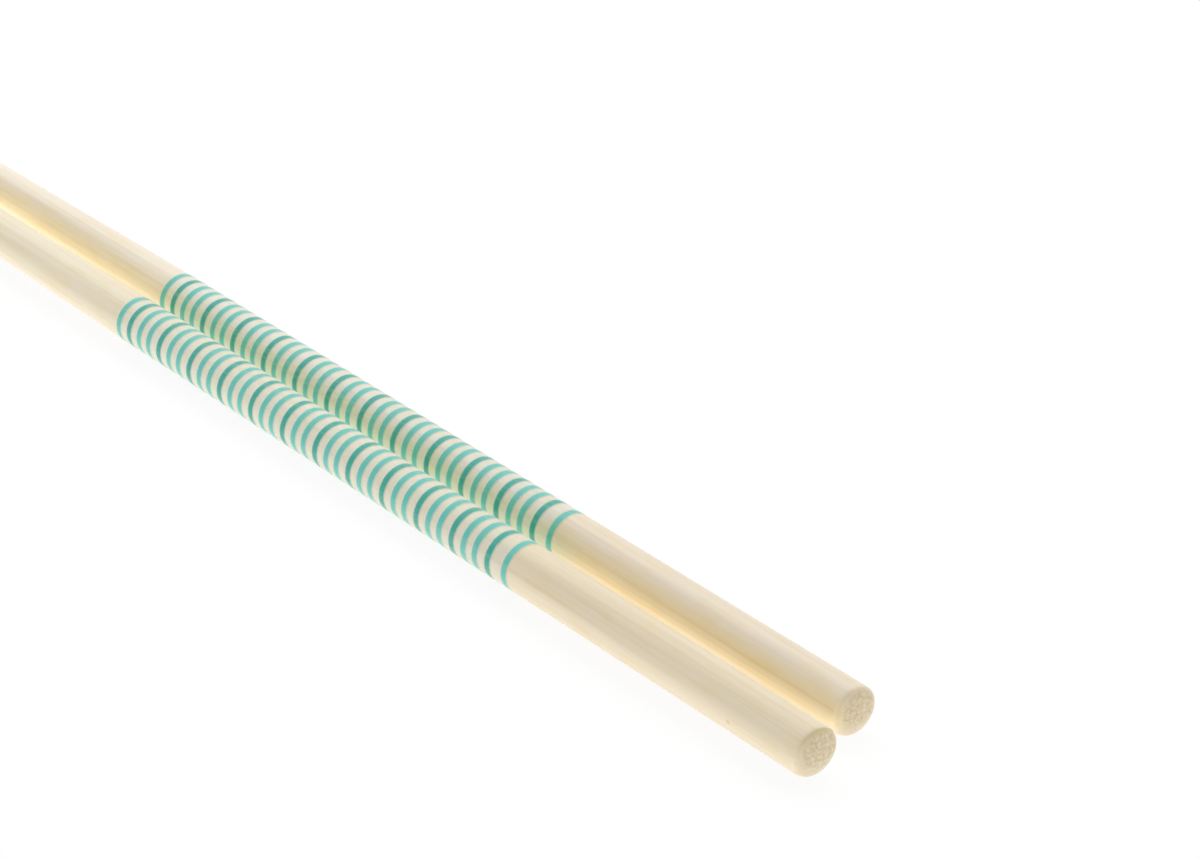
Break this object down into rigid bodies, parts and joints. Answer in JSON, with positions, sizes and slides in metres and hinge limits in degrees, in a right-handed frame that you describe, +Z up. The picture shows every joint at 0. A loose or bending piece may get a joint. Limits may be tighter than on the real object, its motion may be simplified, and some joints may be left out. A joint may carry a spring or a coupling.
{
  "type": "pair of bamboo chopsticks",
  "caption": "Round bamboo chopsticks with a tapered tip, a softly domed butt and fine teal lacquered rings round the handle, lying side by side as a pair for eating.",
  "frame": {"origin": "bottom centre of the pair's box, on the surface that the sticks lie on", "axes": "+X along the sticks to their butts, +Y from the near stick to the far one, +Z up"},
  "size_m": [0.2436, 0.0147, 0.0061],
  "materials": {
    "bamboo": "bare sanded bamboo, pale cream, with fine long fibres and darker dots in the cut ends",
    "ring_lacquer": "thin teal lacquer printed in lines round the handle"
  },
  "bodies": {
    "root": {"near_chopstick": "bamboo", "far_chopstick": "bamboo", "near_dark_rings": "ring_lacquer", "far_dark_rings": "ring_lacquer"}
  },
  "joints": []
}
